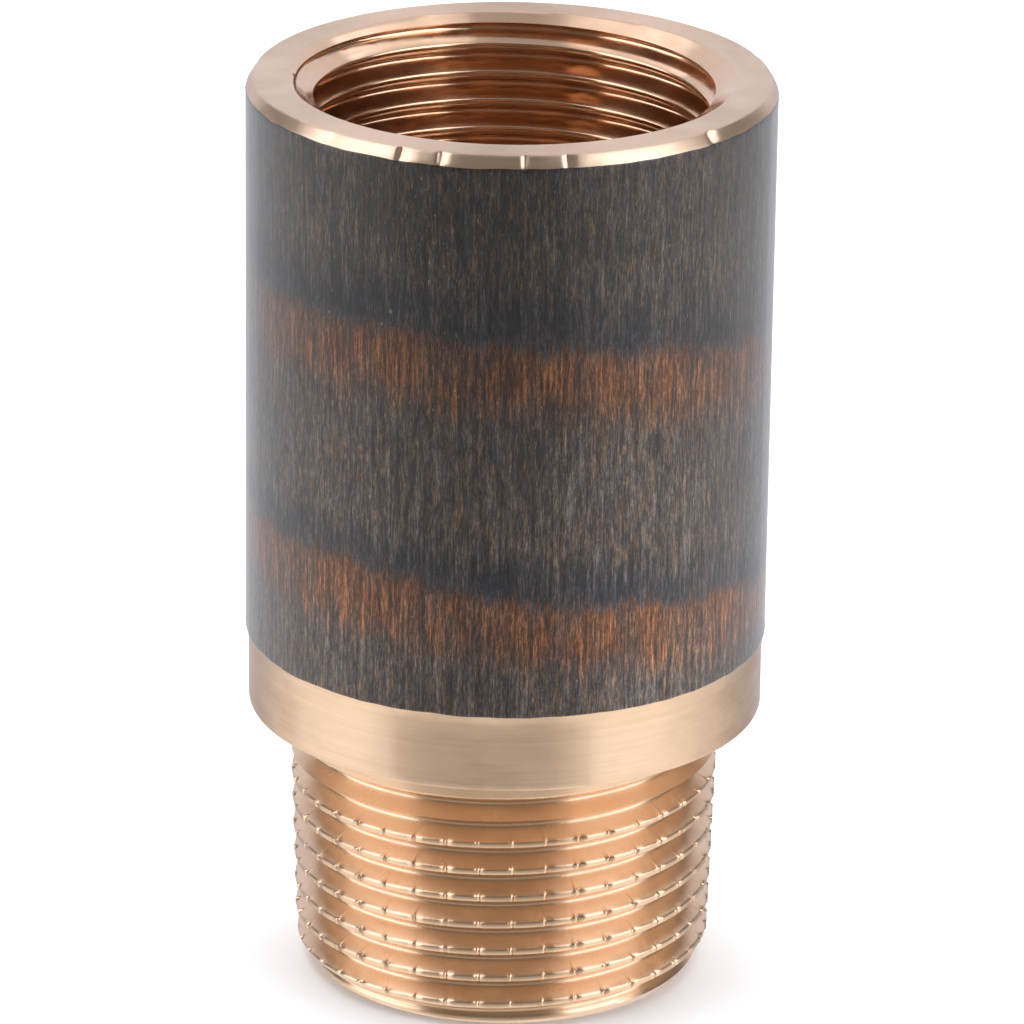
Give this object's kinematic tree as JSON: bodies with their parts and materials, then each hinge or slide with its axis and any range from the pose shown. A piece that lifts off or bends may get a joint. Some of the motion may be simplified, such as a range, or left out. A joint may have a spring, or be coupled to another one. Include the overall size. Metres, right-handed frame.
{
  "type": "threaded pipe nipple",
  "caption": "Straight extension nipple: round barrel with a parallel female socket thread, a turned collar and a tapered male pipe thread.",
  "frame": {"origin": "centre of the male end face, on the common axis of both threads", "axes": "+Z along the axis from the male end to the socket; the body is round, so X and Y are free"},
  "size_m": [0.0324, 0.0324, 0.0576],
  "materials": {
    "gunmetal": "turned bright on the rim, collar, threads and bore, with the dark oxide skin of the drawn bar left on the barrel"
  },
  "bodies": {
    "root": {"nipple_body": "gunmetal"}
  },
  "joints": []
}
